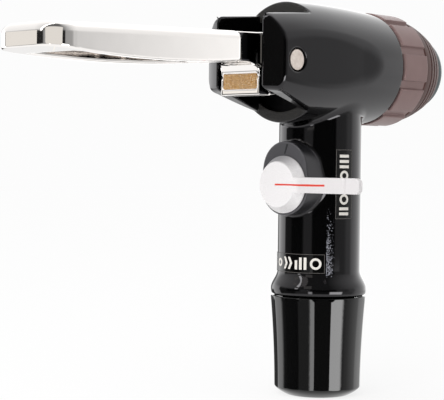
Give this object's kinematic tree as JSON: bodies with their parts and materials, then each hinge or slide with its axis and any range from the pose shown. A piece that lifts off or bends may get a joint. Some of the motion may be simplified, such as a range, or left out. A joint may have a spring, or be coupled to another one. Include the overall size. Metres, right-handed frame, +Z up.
{
  "type": "portable tire inflator",
  "caption": "Hand-held tire inflator head: lever in a clevis on a cast barrel, fluted tank collar, pointer selector and a tapered tire chuck.",
  "frame": {"origin": "middle of the tire chuck's mouth, on the handle tube's axis at the very bottom of the chuck cap", "axes": "+Z up along the handle tube, -X forward toward the lever's tip, +X backward out of the tank collar, -Y toward the pointer arm"},
  "size_m": [0.2074, 0.062, 0.1501],
  "materials": {
    "black_cast": "gloss black coating over the casting, rough where the casting is bare",
    "chrome_lever": "bright chrome plating",
    "bronze": "turned bronze",
    "brass": "turned brass",
    "pin_steel": "ground pin with a peened end",
    "steel": "bright turned steel",
    "spring_steel": "drawn wire",
    "nylon": "natural nylon",
    "rubber": "black nitrile rubber",
    "alloy": "turned alloy",
    "rosy_alloy": "rosy brown anodised, fine turned grain",
    "dark_ring": "glossy dark teal black",
    "silver_knob": "satin silver",
    "red_line": "red enamel line",
    "sintered": "sintered bronze",
    "black_cap": "gloss black",
    "label_black": "clear-edged black label with pale marks"
  },
  "bodies": {
    "body": {"housing": "black_cast", "lever_pin": "pin_steel", "lever_washers": "nylon", "bulkhead": "alloy", "stem_seal": "rubber", "stem_guide": "bronze", "return_spring": "spring_steel", "tank_seat": "brass", "tank_gasket": "rubber", "tank_filter": "sintered", "collar_retaining_ring": "spring_steel", "stop_pin": "steel", "check_seat": "brass", "check_spring": "spring_steel", "spring_retainer": "brass", "depressor_pin": "brass", "cap_retaining_ring": "spring_steel", "chuck_grommet": "rubber", "label_tank": "label_black", "label_tire": "label_black"},
    "lever": {"lever": "chrome_lever", "lever_bush": "bronze", "lever_pad": "brass"},
    "plunger": {"plunger": "alloy", "cam_follower": "steel", "plunger_seal": "rubber"},
    "collar": {"collar": "rosy_alloy", "collar_insert": "brass", "collar_end_ring": "dark_ring"},
    "selector": {"selector_spindle": "brass", "selector_seals": "rubber", "selector_knob": "silver_knob", "pointer_arm": "silver_knob", "pointer_line": "red_line", "spindle_cap": "steel"},
    "poppet": {"check_poppet": "nylon", "check_seal": "rubber"},
    "cap": {"chuck_cap": "black_cap", "thrust_washer": "nylon"},
    "sleeve": {"clamp_sleeve": "nylon"}
  },
  "joints": [
    {"name": "lever_hinge", "type": "hinge", "parent": "body", "child": "lever", "pos_m": [-0.0366, 0, 0.1264], "axis": [0, -1, 0], "range_deg": [0, 85], "stiffness_Nm_per_rad": 0.45, "springref_deg": -40.11},
    {"name": "plunger_slide", "type": "slide", "parent": "body", "child": "plunger", "axis": [1, 0, 0], "range_m": [0, 0.0052], "deforming": ["return_spring"]},
    {"name": "collar_turn", "type": "hinge", "parent": "body", "child": "collar", "pos_m": [0.04, 0, 0.127], "axis": [1, 0, 0], "continuous": true},
    {"name": "selector_turn", "type": "hinge", "parent": "body", "child": "selector", "pos_m": [-0.02, 0, 0.0811], "axis": [1, 0, 0], "range_deg": [0, 90]},
    {"name": "check_lift", "type": "slide", "parent": "body", "child": "poppet", "axis": [0, 0, -1], "range_m": [0, 0.003], "stiffness_N_per_m": 100, "springref_m": -0.004, "deforming": ["check_spring"]},
    {"name": "cap_turn", "type": "hinge", "parent": "body", "child": "cap", "pos_m": [0, 0, 0.02], "axis": [0, 0, 1], "range_deg": [0, 270]},
    {"name": "sleeve_slide", "type": "slide", "parent": "body", "child": "sleeve", "axis": [0, 0, -1], "range_m": [0, 0.0012], "deforming": ["chuck_grommet"]}
  ],
  "couplings": [
    {"joint": "plunger_slide", "follows": "lever_hinge", "m_per_rad": 0.0033},
    {"joint": "sleeve_slide", "follows": "cap_turn", "m_per_rad": 0.00023873}
  ]
}
